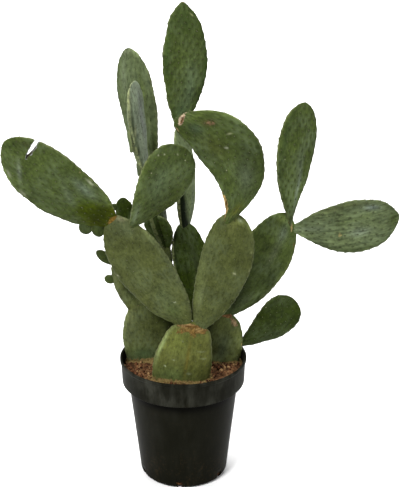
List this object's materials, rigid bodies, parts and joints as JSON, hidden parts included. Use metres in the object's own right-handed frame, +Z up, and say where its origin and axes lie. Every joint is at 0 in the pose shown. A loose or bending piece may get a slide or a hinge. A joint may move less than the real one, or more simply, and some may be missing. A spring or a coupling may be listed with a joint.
{
  "type": "potted paddle cactus",
  "caption": "Paddle cactus of flat, oval, jointed pads with small side buds, rooted in soil in a round tapered nursery pot with a stepped rim band and drain holes.",
  "frame": {"origin": "middle of the pot's flat underside, on the surface it stands on", "axes": "+Z up, -Y towards the front, where the lowest front pad grows, +X to the plant's right-hand side seen from the front"},
  "size_m": [0.7034, 0.24, 0.895],
  "materials": {
    "pot_plastic": "moulded black polypropylene, dull, lightly scuffed",
    "potting_soil": null,
    "cactus_green": null,
    "cactus_deep": null,
    "cactus_olive": null,
    "cactus_young": null,
    "cactus_pale": null
  },
  "bodies": {
    "root": {"pot": "pot_plastic", "soil": "potting_soil", "pad_base_front": "cactus_young", "pad_base_left": "cactus_olive", "pad_base_right": "cactus_olive", "pad_front_left": "cactus_olive", "pad_front_right": "cactus_olive", "pad_rear_left": "cactus_deep", "pad_rear_right": "cactus_green", "pad_rear_middle": "cactus_deep", "pad_low_right": "cactus_deep", "pad_bent_top": "cactus_green", "pad_far_left": "cactus_green", "pad_centre_left": "cactus_green", "pad_middle_link": "cactus_green", "pad_crown": "cactus_deep", "pad_left_link": "cactus_deep", "pad_left_edge": "cactus_pale", "pad_left_crown": "cactus_green", "pad_right_crown": "cactus_deep", "pad_right_wing": "cactus_pale", "pad_round_small": "cactus_deep", "pad_inner_small": "cactus_deep", "bud_rear_left_upper": "cactus_green", "bud_rear_left_lower": "cactus_green", "bud_far_left_outer": "cactus_green", "bud_far_left_inner": "cactus_green", "bud_left_edge_upper": "cactus_green", "bud_left_edge_lower": "cactus_green", "bud_round_small": "cactus_green"}
  },
  "joints": []
}
